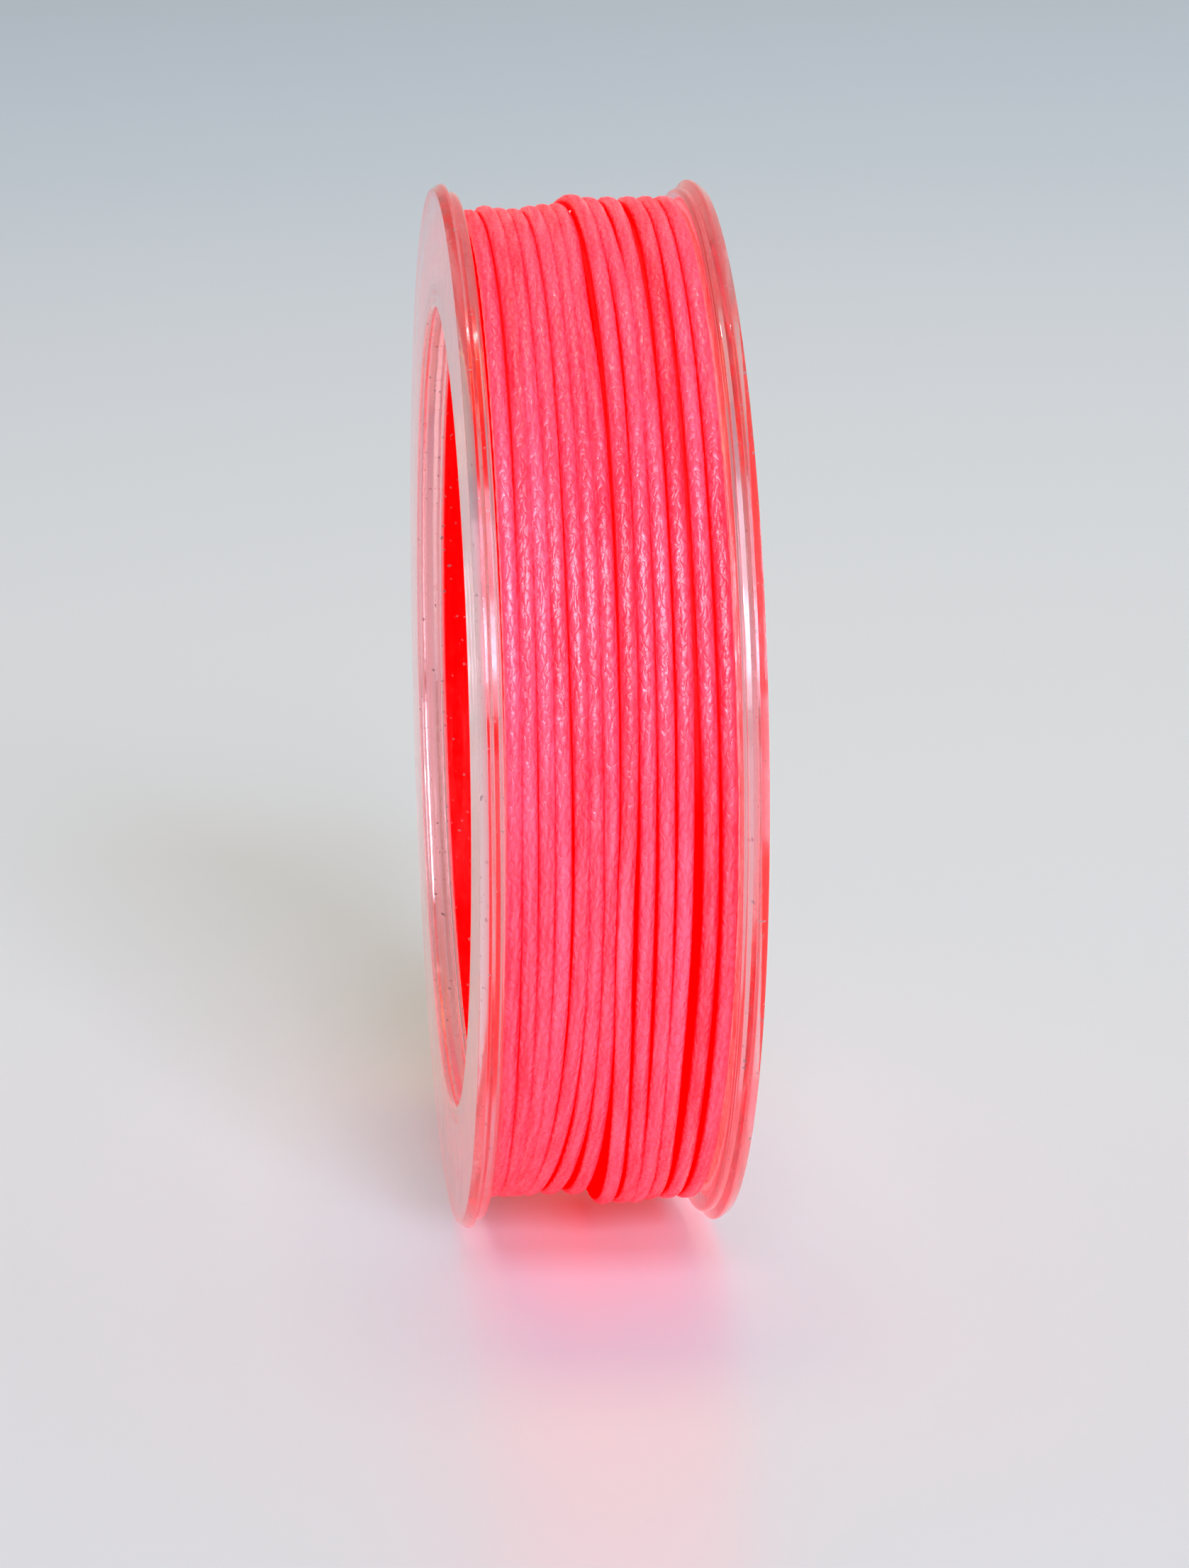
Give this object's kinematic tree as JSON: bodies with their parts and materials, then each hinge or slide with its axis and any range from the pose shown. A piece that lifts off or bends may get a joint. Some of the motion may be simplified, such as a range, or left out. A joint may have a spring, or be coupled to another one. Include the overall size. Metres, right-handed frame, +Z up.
{
  "type": "fishing line spool",
  "caption": "Narrow clear plastic spool with a large open bore, stepped flange rims and a full winding of coral-pink braided fishing line.",
  "frame": {"origin": "centre of the bore, midway between the two flange faces", "axes": "+Y along the spool's axis, +Z up; the spool stands on its two flange rims and looks the same turned end for end"},
  "size_m": [0.06, 0.0152, 0.06],
  "materials": {
    "clear_plastic": "clear, glossy, with fine handling scratches",
    "coral_line": "tight coated braid, satin"
  },
  "bodies": {
    "root": {"left_spool_half": "clear_plastic", "right_spool_half": "clear_plastic", "wound_line": "coral_line"}
  },
  "joints": []
}
